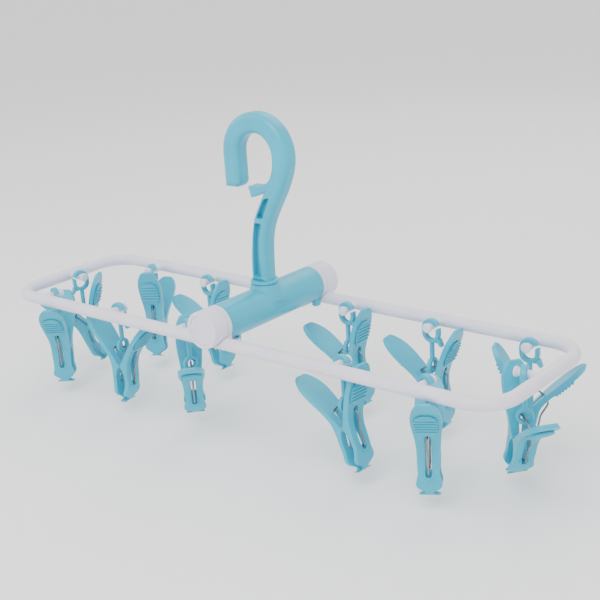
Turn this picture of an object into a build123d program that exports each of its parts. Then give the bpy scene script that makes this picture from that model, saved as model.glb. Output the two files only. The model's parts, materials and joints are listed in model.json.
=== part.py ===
"""Folding clip drying hanger: a rail hook on a swivelling sleeve, two folding frames and twelve pegs.

+Z is up. The origin is the centre of the hook's inner arc, where the axis of the rail lies (along Y).
+X runs along the hanger. Lengths are millimetres.
"""

from build123d import *
import os

# Overall layout
HALF_LENGTH = 220.0         # from the fold line to the centre line of an end bar
HALF_WIDTH = 55.5           # from the middle to the centre line of an arm
CORNER_RADIUS = 23.0
TUBE_RADIUS = 4.5
ARM_Z = -118.5              # height of the arms' centre lines
SWIVEL_X = -4.0             # the swivel axis, in line with the shank
AXIS_UP = 11.0              # the fold axis stands this much above the arms

# Rail hook
HOOK_INNER = 15.0
HOOK_OUTER = 29.3
HOOK_THICK = 14.0
HOOK_TIP_DROP = 24.0
HOOK_ROUND = 4.6
WEB_THICK = 5.0
FLANGE_RADIUS = 10.0
SPIGOT_RADIUS = 4.5
SCREW_RADIUS = 1.75

# Sleeve, caps and axle
SLEEVE_RADIUS = 13.1
SLEEVE_WALL = 2.0
SLEEVE_HALF = 49.5
RING_INNER = 49.8
RING_OUTER = 53.6
CAP_INNER = 53.9
CAP_OUTER = 67.0
CAP_GAP = 0.4
DISC_RADIUS = 10.3
DISC_THICK = 1.8
AXLE_RADIUS = 2.5
RUNNING_GAP = 0.05
AXLE_HALF = 60.3

# Lugs that the pegs hang from
LUG_RADIUS = 2.6
LUG_HEAD = 3.4
LUG_REACH = 20.0
HANG_REACH = 13.5           # from an arm's centre line to the middle of a peg's hanger

# Peg hanger: a snap loop on the lug, a round stem and an eye for the spring wire
LOOP_HALF_WIDTH = 4.2
LOOP_WALL = 2.5
LOOP_TOP = 2.85
LOOP_BOTTOM = -9.3
LOOP_THICK = 4.0
STEM_RADIUS = 1.7
EYE_Z = -28.4
EYE_HOLE = 3.4
EYE_RADIUS = 5.6
EYE_THICK = 3.0

# Peg levers and spring, about the fulcrum between the two levers
WIRE_RADIUS = 0.65
APEX_UP = 14.0              # from the fulcrum to the top of the wire
WIRE_CORNER = 4.2           # half the flat stretch at the top of the wire
EYE_SLIDE = 2.6             # how far the eye sits from the middle of a tilted peg's wire
FULL_SLIDE = 20.0           # the tilt at which the eye has slid that far
APEX_Z = EYE_Z - 1.3        # the wire's top, where it runs through the eye
NOSE_GAP = 0.25
NOSE_RADIUS = 1.5
SLOT_WIDTH = 4.0
SLOT_BOTTOM = -16.4
SLOT_TOP = 13.0
RIB_COUNT = 6

# Each peg: frame, arm, place along X, turn of the hanger, then turn and tilt of the peg, in degrees
CLIPS = [
    ("right", "far", 39.6, 0, 0, -21),
    ("right", "far", 112.0, 2, 2, -14),
    ("right", "far", 187.0, 8, -168, -11),
    ("right", "near", 100.0, -2, -2, -21),
    ("right", "near", 164.0, -20, -40, -5),
    ("right", "end", 0.0, 20, 32, -21),
    ("left", "near", -39.6, -18, 154, -21),
    ("left", "near", -112.0, 3, -175, -2),
    ("left", "near", -187.0, -20, -32, -2),
    ("left", "far", -100.0, 0, 0, -21),
    ("left", "far", -164.0, -20, -40, -21),
    ("left", "end", 0.0, -20, 140, -21),
]


def cylinder_y(radius, y_from, y_to, x=0.0, z=0.0):
    """A cylinder along Y between two stations."""
    disc = Plane.XZ.offset(-y_from) * Pos(x, z) * Circle(radius)
    return extrude(disc, y_from - y_to)


def cylinder_z(radius, z_from, z_to, x=0.0):
    """An upright cylinder between two heights."""
    return extrude(Plane.XY.offset(z_from) * Pos(x, 0) * Circle(radius), z_to - z_from)


def block(x_range, y_range, z_range):
    """A box between limits along each axis."""
    size = [b - a for a, b in (x_range, y_range, z_range)]
    middle = [(a + b) / 2 for a, b in (x_range, y_range, z_range)]
    return Pos(*middle) * Box(*size)


# ---------------------------------------------------------------- rail hook

def hook_outline():
    """The outline of the hook and its shank in XZ, without the keeper."""
    tip_z = -HOOK_TIP_DROP
    shank_z = ARM_Z + AXIS_UP + SLEEVE_RADIUS + 4.0
    outer = [(HOOK_OUTER, 0), (26.6, -13.5), (21.0, -25.5), (10.0, -44.5), (4.8, -60.0), (3.6, -74.0)]
    inner = [(HOOK_INNER, 0), (12.6, -12.5), (5.5, -25.5), (-5.4, -45.5), (-8.8, -60.0), (-10.6, -74.0)]
    right_foot = (SWIVEL_X + 7.2, shank_z)
    left_foot = (SWIVEL_X - 7.2, shank_z)
    return make_face(Curve() + [
        Line((-HOOK_OUTER, tip_z), (-HOOK_OUTER, 0)),
        ThreePointArc((-HOOK_OUTER, 0), (0, HOOK_OUTER), (HOOK_OUTER, 0)),
        Spline(*outer, right_foot, tangents=[(0, -1), (0, -1)]),
        Line(right_foot, left_foot),
        Spline(left_foot, *reversed(inner), tangents=[(0, 1), (0, 1)]),
        ThreePointArc((HOOK_INNER, 0), (0, HOOK_INNER), (-HOOK_INNER, 0)),
        Line((-HOOK_INNER, 0), (-HOOK_INNER, tip_z + 5)),
        ThreePointArc((-HOOK_INNER, tip_z + 5), (-HOOK_INNER - 1.5, tip_z + 1.5), (-HOOK_INNER - 5, tip_z)),
        Line((-HOOK_INNER - 5, tip_z), (-HOOK_OUTER, tip_z)),
    ])


def slab_xz(sketch, thickness):
    """A sketch drawn in X and Z, extruded evenly to both sides of Y = 0."""
    return Pos(0, -thickness / 2, 0) * extrude(Plane.XZ * sketch, thickness, dir=(0, 1, 0))


def hook_keeper():
    """The tongue below the mouth of the hook that stops it from lifting off the rail."""
    top = Spline((13.5, -13.5), (5.0, -20.2), (-8.0, -22.0), tangents=[(-0.6, -1), (-1, 0.1)])
    below = Spline((-6.0, -29.6), (1.5, -27.4), (11.5, -22.5), tangents=[(1, 0.1), (1, 0.6)])
    tongue = slab_xz(make_face(Curve() + [
        top, Line((-8.0, -22.0), (-6.0, -29.6)), below, Line((11.5, -22.5), (13.5, -13.5))]), HOOK_THICK - 3)
    return fillet(tongue.edges().filter_by(Axis.Y, reverse=True).group_by(Axis.Y)[0], 1.2)


def hook_pockets():
    """The two recesses in each side face of the shank, split by a bridge."""
    upper = Polygon((6.4, -29.5), (12.6, -27.5), (4.6, -43.6), (-1.6, -43.6), align=None)
    lower = Polygon((-3.4, -47.0), (3.2, -47.0), (-0.2, -59.0), (-1.0, -74.0), (-0.4, -86.5),
                    (-7.4, -86.5), (-6.8, -74.0), (-5.6, -59.0), align=None)
    recesses = fillet(upper.vertices(), 0.8) + fillet(lower.vertices(), 0.8)
    return slab_xz(recesses, 2 * HOOK_THICK) - slab_xz(recesses, WEB_THICK)


def make_hook():
    """The rail hook with its keeper, the collar above the sleeve and the spigot below it."""
    crown = slab_xz(hook_outline(), HOOK_THICK)
    rims = crown.edges().filter_by(Plane.XZ)
    body = fillet(rims, HOOK_ROUND)
    collar_z = ARM_Z + AXIS_UP + SLEEVE_RADIUS + 2.6
    spigot_end = ARM_Z + 17.7
    collar = fillet(cylinder_z(FLANGE_RADIUS, collar_z, collar_z + 2.4, SWIVEL_X).edges(), 0.8)
    spigot = cylinder_z(SPIGOT_RADIUS, spigot_end, collar_z + 1, SWIVEL_X)
    screw_hole = cylinder_z(SCREW_RADIUS + RUNNING_GAP, spigot_end - 1, spigot_end + 10, SWIVEL_X)
    return body - hook_pockets() + hook_keeper() + collar + spigot - screw_hole


def make_swivel_washer():
    """The washer that carries the sleeve, under the spigot."""
    top = ARM_Z + 17.7
    ring = cylinder_z(7.5, top - 1.0, top, SWIVEL_X)
    return ring - cylinder_z(SCREW_RADIUS + 0.15, top - 2, top + 1, SWIVEL_X)


def make_swivel_screw():
    """The pan-head screw up into the spigot."""
    seat = ARM_Z + 16.7
    head = fillet(cylinder_z(3.6, seat - 2.0, seat, SWIVEL_X).edges().group_by(Axis.Z)[0], 0.8)
    slot = block((SWIVEL_X - 4, SWIVEL_X + 4), (-0.4, 0.4), (seat - 2.5, seat - 1.0))
    return head + cylinder_z(SCREW_RADIUS, seat, seat + 9.5, SWIVEL_X) - slot


# ---------------------------------------------------------------- sleeve and axle
# From here to the pegs, X = 0 is the swivel axis and Z = 0 is the arms' centre plane.

def sleeve_tabs():
    """The stop tabs under the sleeve, the same after half a turn about the swivel axis."""
    tabs = block((4.0, 8.0), (-39.4, -37.0), (-4.2, 3.0)) + block((5.0, 9.0), (44.5, SLEEVE_HALF), (-4.0, 3.0))
    return tabs + Rot(0, 0, 180) * tabs


def make_sleeve():
    """The hollow cross sleeve with its end walls, swivel boss and stop tabs."""
    skin = cylinder_y(SLEEVE_RADIUS, -SLEEVE_HALF, SLEEVE_HALF, z=AXIS_UP)
    boss_top = AXIS_UP + SLEEVE_RADIUS + 2.3
    boss = extrude(Plane.XY.offset(AXIS_UP + 4) * Circle(FLANGE_RADIUS + 3.6), SLEEVE_RADIUS - 1.9, taper=19)
    neck = cylinder_z(FLANGE_RADIUS, AXIS_UP + 8, boss_top)
    outside = skin + boss + fillet(neck.edges().group_by(Axis.Z)[-1], 0.6)
    hollow = cylinder_y(SLEEVE_RADIUS - SLEEVE_WALL, -SLEEVE_HALF + 3, SLEEVE_HALF - 3, z=AXIS_UP)
    inner_boss = cylinder_z(8.5, 18.0, AXIS_UP + SLEEVE_RADIUS)
    body = outside - (hollow - inner_boss) + (sleeve_tabs() - cylinder_y(SLEEVE_RADIUS - 1, -60, 60, z=AXIS_UP))
    body -= cylinder_z(SPIGOT_RADIUS + RUNNING_GAP, 17, boss_top + 1)
    return body - cylinder_y(AXLE_RADIUS + RUNNING_GAP, -60, 60, z=AXIS_UP)


def make_axle():
    """The steel axle through sleeve and caps, with a head at one end and a groove at the other."""
    rod = cylinder_y(AXLE_RADIUS, -AXLE_HALF, AXLE_HALF, z=AXIS_UP)
    head = cylinder_y(4.4, -AXLE_HALF, -AXLE_HALF + 1.4, z=AXIS_UP)
    groove = cylinder_y(AXLE_RADIUS + 1, AXLE_HALF - 2.2, AXLE_HALF - 1.1, z=AXIS_UP)
    return rod + head - (groove - cylinder_y(AXLE_RADIUS - 0.6, -60, 60, z=AXIS_UP))


def make_axle_clip():
    """The spring ring in the axle's groove."""
    ring = cylinder_y(4.4, AXLE_HALF - 2.1, AXLE_HALF - 1.2, z=AXIS_UP)
    ring -= cylinder_y(AXLE_RADIUS - 0.55, -60, 60, z=AXIS_UP)
    return ring - block((-0.9, 0.9), (50, 60), (AXIS_UP, AXIS_UP + 6))


# ---------------------------------------------------------------- folding frames

def lug(x, y, direction):
    """A peg's lug: a round pin with a head, pointing inwards from a tube's centre line."""
    pin = Cylinder(LUG_RADIUS, LUG_REACH - 1, align=(Align.CENTER, Align.CENTER, Align.MIN))
    head = Pos(0, 0, LUG_REACH - 2.4) * Cylinder(LUG_HEAD, 2.4, align=(Align.CENTER, Align.CENTER, Align.MIN))
    head = fillet(head.edges(), 0.9)
    return Plane(origin=(x, y, 0), z_dir=direction) * (pin + head)


def frame_lugs():
    """The six lugs of the right-hand frame."""
    lugs = []
    for side, arm, x, *_ in CLIPS:
        if side == "right" and arm == "far":
            lugs.append(lug(x, HALF_WIDTH, (0, -1, 0)))
        elif side == "right" and arm == "near":
            lugs.append(lug(x, -HALF_WIDTH, (0, 1, 0)))
        elif side == "right":
            lugs.append(lug(HALF_LENGTH, 0, (-1, 0, 0)))
    return lugs


def frame_tube():
    """The U-shaped tube of the right-hand frame, from fold line to fold line."""
    bend_x = HALF_LENGTH - CORNER_RADIUS
    bend_y = HALF_WIDTH - CORNER_RADIUS
    reach = CORNER_RADIUS * 0.70710678
    path = Wire([
        Line((CAP_GAP, -HALF_WIDTH), (bend_x, -HALF_WIDTH)),
        ThreePointArc((bend_x, -HALF_WIDTH), (bend_x + reach, -bend_y - reach), (HALF_LENGTH, -bend_y)),
        Line((HALF_LENGTH, -bend_y), (HALF_LENGTH, bend_y)),
        ThreePointArc((HALF_LENGTH, bend_y), (bend_x + reach, bend_y + reach), (bend_x, HALF_WIDTH)),
        Line((bend_x, HALF_WIDTH), (CAP_GAP, HALF_WIDTH)),
    ])
    return sweep(Plane(origin=(CAP_GAP, -HALF_WIDTH, 0), z_dir=(1, 0, 0)) * Circle(TUBE_RADIUS), path)


def frame_cap():
    """The outer knuckle of a frame: a cup around the end of the axle, open to its cover disc."""
    cup = fillet(cylinder_y(SLEEVE_RADIUS, CAP_INNER, CAP_OUTER, z=AXIS_UP).edges().group_by(Axis.Y)[-1], 0.9)
    seat = cylinder_y(DISC_RADIUS + RUNNING_GAP, CAP_OUTER - DISC_THICK - 0.5, CAP_OUTER + 1, z=AXIS_UP)
    pocket = cylinder_y(DISC_RADIUS - 1.5, CAP_INNER + 4, CAP_OUTER, z=AXIS_UP)
    return cup, seat + pocket


def frame_root():
    """The inner knuckle ring of a frame and the foot that joins it to the arm, below the other's cap."""
    ring = cylinder_y(SLEEVE_RADIUS, -RING_OUTER, -RING_INNER, z=AXIS_UP)
    foot = block((CAP_GAP, 10.5), (-HALF_WIDTH, -40.0), (-TUBE_RADIUS, -1.0))
    foot += block((CAP_GAP, 12.0), (-RING_OUTER - 1.5, -RING_INNER), (-TUBE_RADIUS, 5.0))
    under_cap = cylinder_y(SLEEVE_RADIUS + CAP_GAP, -CAP_OUTER - 8, -CAP_INNER + 0.1, z=AXIS_UP)
    under_sleeve = cylinder_y(SLEEVE_RADIUS + CAP_GAP, -RING_INNER - 0.1, -20, z=AXIS_UP)
    return ring, foot - under_sleeve, under_cap


def make_right_frame():
    """The right-hand frame: its outer knuckle is at the far arm and its inner one at the near arm."""
    cup, cavity = frame_cap()
    ring, foot, under_cap = frame_root()
    beside_ring = cylinder_y(SLEEVE_RADIUS + CAP_GAP, 20, CAP_INNER, z=AXIS_UP)
    body = frame_tube() + foot - under_cap - beside_ring + ring + cup
    for peg in frame_lugs():
        body += peg
    body -= cavity
    return body - cylinder_y(AXLE_RADIUS + RUNNING_GAP, -70, 70, z=AXIS_UP)


def make_cap_disc():
    """The cover pressed into the far cap, with a shallow dish."""
    disc = cylinder_y(DISC_RADIUS, CAP_OUTER - DISC_THICK - 0.5, CAP_OUTER - 0.5, z=AXIS_UP)
    dish = cylinder_y(DISC_RADIUS - 3.0, CAP_OUTER - 0.9, CAP_OUTER, z=AXIS_UP)
    return fillet(disc.edges().group_by(Axis.Y)[-1], 0.4) - dish


# ---------------------------------------------------------------- pegs
# A hanger is drawn about the lug, a lever about the fulcrum: X is the way the peg opens, Y its width.

def make_hanger():
    """The snap hanger of a peg: an open loop with a spring tongue, a stem and the eye for the wire."""
    height = LOOP_TOP - LOOP_BOTTOM
    middle = (LOOP_TOP + LOOP_BOTTOM) / 2
    hole = Pos(0, middle) * SlotOverall(height, 2 * LOOP_HALF_WIDTH, rotation=90)
    outside = Pos(0, middle) * SlotOverall(height + 2 * LOOP_WALL, 2 * (LOOP_HALF_WIDTH + LOOP_WALL), rotation=90)
    gap = Polygon((2.2, -2.2), (9, -0.6), (9, 1.6), (2.2, 0.6), align=None)
    thumb = Polygon((4.6, -8.0), (6.9, -8.6), (8.6, -13.6), (7.0, -13.4), (5.6, -11.4), (2.0, -11.0), align=None)
    loop = slab_xz(outside - hole - gap + thumb, LOOP_THICK)
    loop = fillet(loop.edges().filter_by(Plane.XZ).filter_by(lambda e: e.length > 6), 0.7)
    stem = cylinder_z(STEM_RADIUS, EYE_Z + EYE_HOLE + 1, LOOP_BOTTOM - 1)
    eye = Plane.YZ.offset(-EYE_THICK / 2) * Pos(0, EYE_Z) * Circle(EYE_RADIUS)
    eye = fillet(extrude(eye, EYE_THICK).edges(), 0.6)
    hole_x = extrude(Plane.YZ.offset(-5) * Pos(0, EYE_Z) * Circle(EYE_HOLE), 10)
    return loop + stem + eye - hole_x


def lever_side():
    """The side outline of the lever on the +X side, in X and Z."""
    outer = [(2.3, -29.4), (4.9, -24.0), (7.0, -14.0), (7.2, -4.0), (8.6, 5.0), (13.4, 14.0), (22.4, 26.4),
             (29.6, 36.5)]
    upper = [(27.4, 38.2), (19.2, 28.0), (9.6, 14.6), (5.0, 7.6), (NOSE_GAP + 1.1, 1.35)]
    lower = [(NOSE_GAP + 1.1, -1.35), (3.4, -6.4), (3.9, -14.0), (2.6, -22.5), (0.3, -29.4)]
    return make_face(Curve() + [
        Spline(*outer), ThreePointArc(outer[-1], (29.5, 38.6), upper[0]), Spline(*upper),
        ThreePointArc(upper[-1], (NOSE_GAP, 0), lower[0]), Spline(*lower), Line(lower[-1], outer[0])])


def lever_front():
    """The front outline of a lever in Y and Z: grip, waist and rounded jaw."""
    half = [(0, 39.4), (5.2, 37.0), (8.4, 31.6), (9.4, 23.5), (8.3, 13.0), (7.1, 1.0), (6.9, -9.0),
            (7.2, -17.5), (6.4, -24.6), (3.6, -28.7), (0, -29.9)]
    edge = Spline(*half, tangents=[(1, 0), (-1, 0)])
    return make_face(Curve() + [edge, mirror(edge, about=Plane.YZ)])


def grip_pad():
    """The raised, ribbed thumb pad on the outside of the handle."""
    front = extrude(Plane.YZ * Pos(0, 21.6) * RectangleRounded(14.6, 16.4, 6.0), 40)
    sheet = Polygon((12.4, 11.0), (14.6, 13.9), (23.2, 25.8), (30.0, 35.0), (27.0, 35.0), align=None)
    pad = slab_xz(sheet, 20)
    for k in range(RIB_COUNT):
        t = (k + 0.5) / RIB_COUNT
        rib = cylinder_y(0.75, -10, 10, x=15.9 + 9.2 * t, z=15.4 + 12.8 * t)
        pad += rib
    return pad & front


def make_lever():
    """One lever of a peg, with its wire slot, the rim round the slot's end, the pad and the jaw's teeth."""
    body = slab_xz(lever_side(), 24) & extrude(Plane.YZ * lever_front(), 40)
    body += grip_pad()
    rim_z = SLOT_BOTTOM + SLOT_WIDTH / 2
    rim = extrude(Plane.YZ.offset(5.0) * Pos(0, rim_z) * Circle(SLOT_WIDTH / 2 + 1.1), 2.7)
    length = SLOT_TOP - SLOT_BOTTOM
    slot = Plane.YZ.offset(-1) * Pos(0, SLOT_BOTTOM + length / 2) * SlotOverall(length, SLOT_WIDTH, rotation=90)
    body = body + rim - extrude(slot, 40)
    for k in range(3):
        body -= cylinder_y(0.45, -10, 10, x=0.35 + 0.3 * k, z=-27.9 + 1.6 * k)
    return body


def make_spring():
    """The bent wire of a peg: a ring between the handles, and legs out through the slots to the jaws."""
    half = [(WIRE_CORNER, APEX_UP), (9.7, APEX_UP - 3.0), (12.2, 6.6), (8.9, -3.0), (8.9, -13.4), (4.6, -14.4)]
    points = [(-x, z) for x, z in reversed(half)] + half
    path = Plane.XZ * FilletPolyline(*points, radius=1.2)
    start = Plane(origin=path @ 0, z_dir=path % 0)
    return sweep(start * Circle(WIRE_RADIUS), path)


# ---------------------------------------------------------------- placing

def body_place():
    """Where the sleeve, axle and frames stand."""
    return Location((SWIVEL_X, 0, ARM_Z))


def hanger_place(clip):
    """Where the hanger of a peg hangs on its lug."""
    side, arm, x, turn, *_ = clip
    sign = 1 if side == "right" else -1
    if arm == "end":
        point = (sign * (HALF_LENGTH - HANG_REACH), 0, 0)
        return body_place() * Pos(*point) * Rot(0, 0, 90 * sign + turn)
    y = (HALF_WIDTH - HANG_REACH) * (1 if arm == "far" else -1)
    return body_place() * Pos(x, y, 0) * Rot(0, 0, turn)


def peg_place(clip):
    """Where the fulcrum of a peg stands, with X the way it opens."""
    turn, tilt = clip[4:]
    slide = EYE_SLIDE * min(1, -tilt / FULL_SLIDE)
    eye = hanger_place(clip) * Pos(0, 0, APEX_Z)
    return eye * Rot(0, 0, turn) * Rot(0, tilt, 0) * Pos(-slide, 0, -APEX_UP)


def build():
    """Every piece of the hanger by name."""
    place = body_place()
    half_turn = place * Rot(0, 0, 180)
    right_frame = make_right_frame()
    disc = make_cap_disc()
    pieces = {
        "rail_hook": make_hook(),
        "swivel_washer": make_swivel_washer(),
        "swivel_screw": make_swivel_screw(),
        "sleeve": place * make_sleeve(),
        "axle": place * make_axle(),
        "axle_clip": place * make_axle_clip(),
        "right_frame": place * right_frame,
        "left_frame": half_turn * right_frame,
        "back_cap_disc": place * disc,
        "front_cap_disc": half_turn * disc,
    }
    hanger, lever, spring = make_hanger(), make_lever(), make_spring()
    for number, clip in enumerate(CLIPS, 1):
        pieces[f"peg_{number:02d}_hanger"] = hanger_place(clip) * hanger
        pieces[f"peg_{number:02d}_spring"] = peg_place(clip) * spring
        pieces[f"peg_{number:02d}_lever_a"] = peg_place(clip) * lever
        pieces[f"peg_{number:02d}_lever_b"] = peg_place(clip) * Rot(0, 0, 180) * lever
    return pieces


os.makedirs("parts", exist_ok=True)
for node, solid in build().items():
    export_step(solid, f"parts/{node}.step")
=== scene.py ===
import json
import math
import bpy
from mathutils import Matrix, Vector


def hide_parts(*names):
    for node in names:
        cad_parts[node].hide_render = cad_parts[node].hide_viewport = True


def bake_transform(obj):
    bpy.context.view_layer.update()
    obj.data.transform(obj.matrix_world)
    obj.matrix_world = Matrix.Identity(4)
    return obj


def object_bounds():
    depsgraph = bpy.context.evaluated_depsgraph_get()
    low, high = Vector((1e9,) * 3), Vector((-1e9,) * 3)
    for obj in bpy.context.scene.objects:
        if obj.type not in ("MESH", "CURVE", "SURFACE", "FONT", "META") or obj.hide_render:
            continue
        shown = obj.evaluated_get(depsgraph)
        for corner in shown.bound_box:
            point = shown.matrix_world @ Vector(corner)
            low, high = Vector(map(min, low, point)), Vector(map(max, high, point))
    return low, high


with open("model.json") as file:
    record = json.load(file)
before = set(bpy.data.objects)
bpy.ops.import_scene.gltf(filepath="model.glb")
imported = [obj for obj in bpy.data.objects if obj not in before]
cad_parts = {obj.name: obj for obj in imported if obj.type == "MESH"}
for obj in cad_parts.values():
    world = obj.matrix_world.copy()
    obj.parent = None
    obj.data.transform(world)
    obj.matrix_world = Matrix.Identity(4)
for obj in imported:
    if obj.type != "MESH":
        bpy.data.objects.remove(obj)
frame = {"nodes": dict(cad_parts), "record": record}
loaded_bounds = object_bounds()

RECORD = frame["record"]
JOINTS = {j["name"]: j for j in RECORD["behaviour"]["joints"]}
SLOT_OF = {s["node"]: s["material_slot"] for s in RECORD["subparts"]}
PEG_COUNT = 12

# Wire of a peg, in millimetres about the fulcrum
APEX_UP = 14.0
WIRE_RADIUS = 0.65
WIRE_HALF = [(4.2, 14.0), (9.7, 11.0), (12.2, 6.6), (8.9, -3.0), (8.9, -13.4), (4.6, -14.4)]

# The rest is in metres
WIRE_BEND = 0.0016          # how far a bend of the wire reaches along each stretch
WIRE_STEP = 0.0012
FLOOR_DROP = 0.012
FLOOR_HALF = 6.0
LIGHT_TARGET = (0.0, 0.0, -0.09)
LIGHT_SIZE = 0.9
LIGHTS = [                  # name, place, power in watts
    ("key", (0.35, -0.75, 0.95), 13.0),
    ("fill", (-0.95, -0.55, 0.45), 3.0),
    ("back", (-0.2, 0.95, 0.8), 4.0),
]
WORLD_STRENGTH = 1.3
CAMERA_PLACE = (0.5200, -0.5693, 0.1506)
CAMERA_RIGHT = (0.769, 0.6359, -0.0657)
CAMERA_AHEAD = (-0.6204, 0.7176, -0.3163)
LENS_MM = 68.62
SENSOR_MM = 36.0


# ---------------------------------------------------------------- materials

def plastic(name, colour, second, roughness, coat, grain):
    """Moulded plastic: a faint mottle in the colour and roughness, and a fine grain in the surface."""
    mat = bpy.data.materials.new(name)
    mat.use_nodes = True
    nodes, links = mat.node_tree.nodes, mat.node_tree.links
    shader = nodes["Principled BSDF"]
    coords = nodes.new("ShaderNodeTexCoord")
    mottle = nodes.new("ShaderNodeTexNoise")
    mottle.inputs["Scale"].default_value = 60.0
    mottle.inputs["Detail"].default_value = 3.0
    ramp = nodes.new("ShaderNodeValToRGB")
    ramp.color_ramp.elements[0].position = 0.35
    ramp.color_ramp.elements[1].position = 0.65
    ramp.color_ramp.elements[0].color = (*second, 1)
    ramp.color_ramp.elements[1].color = (*colour, 1)
    rough = nodes.new("ShaderNodeMapRange")
    rough.inputs["To Min"].default_value = roughness - 0.04
    rough.inputs["To Max"].default_value = roughness + 0.06
    fine = nodes.new("ShaderNodeTexNoise")
    fine.inputs["Scale"].default_value = 900.0
    bump = nodes.new("ShaderNodeBump")
    bump.inputs["Strength"].default_value = grain
    bump.inputs["Distance"].default_value = 0.0003
    links.new(coords.outputs["Object"], mottle.inputs["Vector"])
    links.new(coords.outputs["Object"], fine.inputs["Vector"])
    links.new(mottle.outputs["Fac"], ramp.inputs["Fac"])
    links.new(mottle.outputs["Fac"], rough.inputs["Value"])
    links.new(ramp.outputs["Color"], shader.inputs["Base Color"])
    links.new(rough.outputs["Result"], shader.inputs["Roughness"])
    links.new(fine.outputs["Fac"], bump.inputs["Height"])
    links.new(bump.outputs["Normal"], shader.inputs["Normal"])
    shader.inputs["Coat Weight"].default_value = coat
    shader.inputs["Coat Roughness"].default_value = 0.25
    return mat


def steel(name, colour, second, roughness):
    """Drawn or plated steel, with a faint mottle."""
    mat = plastic(name, colour, second, roughness, 0.0, 0.05)
    mat.node_tree.nodes["Principled BSDF"].inputs["Metallic"].default_value = 1.0
    return mat


MATERIALS = {
    "hook_plastic": plastic("hook_plastic", (0.003, 0.42, 0.58), (0.002, 0.38, 0.54), 0.38, 0.20, 0.10),
    "blue_plastic": plastic("blue_plastic", (0.003, 0.42, 0.58), (0.002, 0.38, 0.54), 0.36, 0.25, 0.10),
    "peg_plastic": plastic("peg_plastic", (0.003, 0.41, 0.57), (0.002, 0.37, 0.53), 0.40, 0.15, 0.12),
    "frame_plastic": plastic("frame_plastic", (0.77, 0.75, 0.86), (0.73, 0.71, 0.82), 0.42, 0.15, 0.10),
    "spring_wire": steel("spring_wire", (0.30, 0.30, 0.31), (0.22, 0.22, 0.23), 0.34),
    "steel": steel("steel", (0.56, 0.56, 0.58), (0.46, 0.46, 0.48), 0.32),
}


def paint(obj, slot):
    """Gives an object the one material of a slot."""
    obj.data.materials.clear()
    obj.data.materials.append(MATERIALS[slot])


# ---------------------------------------------------------------- spring wires

def peg_axes(k):
    """The fulcrum of peg k and its X, Y and Z directions, from its turn and open joints."""
    joint = JOINTS[f"open_{k:02d}"]
    fulcrum = Vector(joint["pos_m"])
    y = Vector(joint["axis"]).normalized()
    to_eye = Vector(JOINTS[f"turn_{k:02d}"]["pos_m"]) - fulcrum
    up = APEX_UP / 1000
    slide = math.sqrt(max(to_eye.length_squared - up * up, 0.0))
    across = y.cross(to_eye)
    x = (across * up + to_eye * slide) / to_eye.length_squared
    z = (to_eye * up - across * slide) / to_eye.length_squared
    return fulcrum, x, y, z


def rounded(points, radius, steps=5):
    """Points with each corner replaced by a small bend."""
    out = [points[0]]
    for before, at, after in zip(points, points[1:], points[2:]):
        a, b = before - at, after - at
        reach = min(radius, a.length / 2.2, b.length / 2.2)
        start, end = at + a.normalized() * reach, at + b.normalized() * reach
        for i in range(steps + 1):
            t = i / steps
            out.append(start * (1 - t) ** 2 + at * 2 * t * (1 - t) + end * t * t)
    return out + [points[-1]]


def divided(points, step):
    """Points with long stretches divided into short steps."""
    out = [points[0]]
    for a, b in zip(points, points[1:]):
        count = max(1, math.ceil((b - a).length / step))
        out += [a.lerp(b, i / count) for i in range(1, count + 1)]
    return out


def wire_mesh(name, points, side, radius, around=12):
    """A round wire along points that lie in a plane with the normal side."""
    verts, faces = [], []
    for i, p in enumerate(points):
        along = (points[min(i + 1, len(points) - 1)] - points[max(i - 1, 0)]).normalized()
        out = along.cross(side).normalized()
        for n in range(around):
            angle = 2 * math.pi * n / around
            verts.append(p + (side * math.cos(angle) + out * math.sin(angle)) * radius)
    for i in range(len(points) - 1):
        for n in range(around):
            m = (n + 1) % around
            a, b = i * around, (i + 1) * around
            faces.append((a + n, b + n, b + m, a + m))
    last = (len(points) - 1) * around
    faces.append(tuple(range(around)))
    faces.append(tuple(last + n for n in reversed(range(around))))
    mesh = bpy.data.meshes.new(name)
    mesh.from_pydata([tuple(v) for v in verts], [], faces)
    mesh.update()
    for polygon in mesh.polygons:
        polygon.use_smooth = len(polygon.vertices) == 4
    obj = bpy.data.objects.new(name, mesh)
    bpy.context.scene.collection.objects.link(obj)
    return obj


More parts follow.
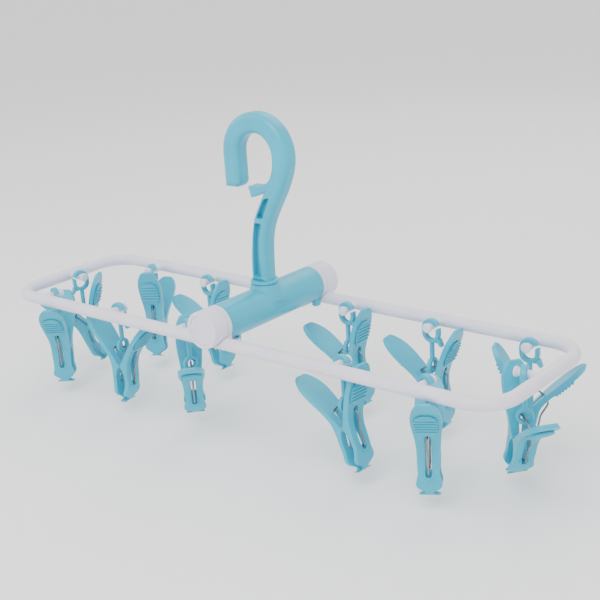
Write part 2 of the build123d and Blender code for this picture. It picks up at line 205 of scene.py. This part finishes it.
def make_wire(k):
    """The spring wire of peg k, bent to a fixed shape between the peg and its moving jaw."""
    fulcrum, x, y, z = peg_axes(k)
    flat = [(-a, b) for a, b in reversed(WIRE_HALF)] + WIRE_HALF
    points = [fulcrum + (x * a + z * b) / 1000 for a, b in flat]
    points = divided(rounded(points, WIRE_BEND), WIRE_STEP)
    wire = wire_mesh(f"wire_{k:02d}", points, y, WIRE_RADIUS / 1000)
    paint(wire, "spring_wire")
    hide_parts(f"peg_{k:02d}_spring")
    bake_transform(wire)


for node, obj in frame["nodes"].items():
    paint(obj, SLOT_OF[node])
for k in range(1, PEG_COUNT + 1):
    make_wire(k)


# ---------------------------------------------------------------- stage

def area_light(name, place, power):
    """A soft square light aimed at the middle of the hanger."""
    data = bpy.data.lights.new(name, "AREA")
    data.shape = "SQUARE"
    data.size = LIGHT_SIZE
    data.energy = power
    obj = bpy.data.objects.new(name, data)
    obj.location = place
    obj.rotation_euler = (Vector(LIGHT_TARGET) - Vector(place)).to_track_quat("-Z", "Y").to_euler()
    bpy.context.scene.collection.objects.link(obj)


def make_floor(height):
    """A wide pale floor."""
    mesh = bpy.data.meshes.new("floor")
    s = FLOOR_HALF
    mesh.from_pydata([(-s, -s, height), (s, -s, height), (s, s, height), (-s, s, height)], [], [(0, 1, 2, 3)])
    floor = bpy.data.objects.new("floor", mesh)
    bpy.context.scene.collection.objects.link(floor)
    mat = plastic("floor_paper", (0.93, 0.93, 0.93), (0.92, 0.92, 0.92), 0.8, 0.0, 0.0)
    mesh.materials.append(mat)


make_floor(loaded_bounds[0][2] - FLOOR_DROP)
for light in LIGHTS:
    area_light(*light)
world = bpy.data.worlds.new("studio")
bpy.context.scene.world = world
world.use_nodes = True
world.node_tree.nodes["Background"].inputs["Color"].default_value = (1, 1, 1, 1)
world.node_tree.nodes["Background"].inputs["Strength"].default_value = WORLD_STRENGTH


# ---------------------------------------------------------------- camera

camera_data = bpy.data.cameras.new("camera")
camera_data.lens = LENS_MM
camera_data.sensor_width = SENSOR_MM
camera = bpy.data.objects.new("camera", camera_data)
bpy.context.scene.collection.objects.link(camera)
right = Vector(CAMERA_RIGHT).normalized()
ahead = Vector(CAMERA_AHEAD).normalized()
upward = right.cross(ahead).normalized()
right = ahead.cross(upward).normalized()
turn = Matrix((right, upward, -ahead)).transposed().to_4x4()
camera.matrix_world = Matrix.Translation(CAMERA_PLACE) @ turn
bpy.context.scene.camera = camera
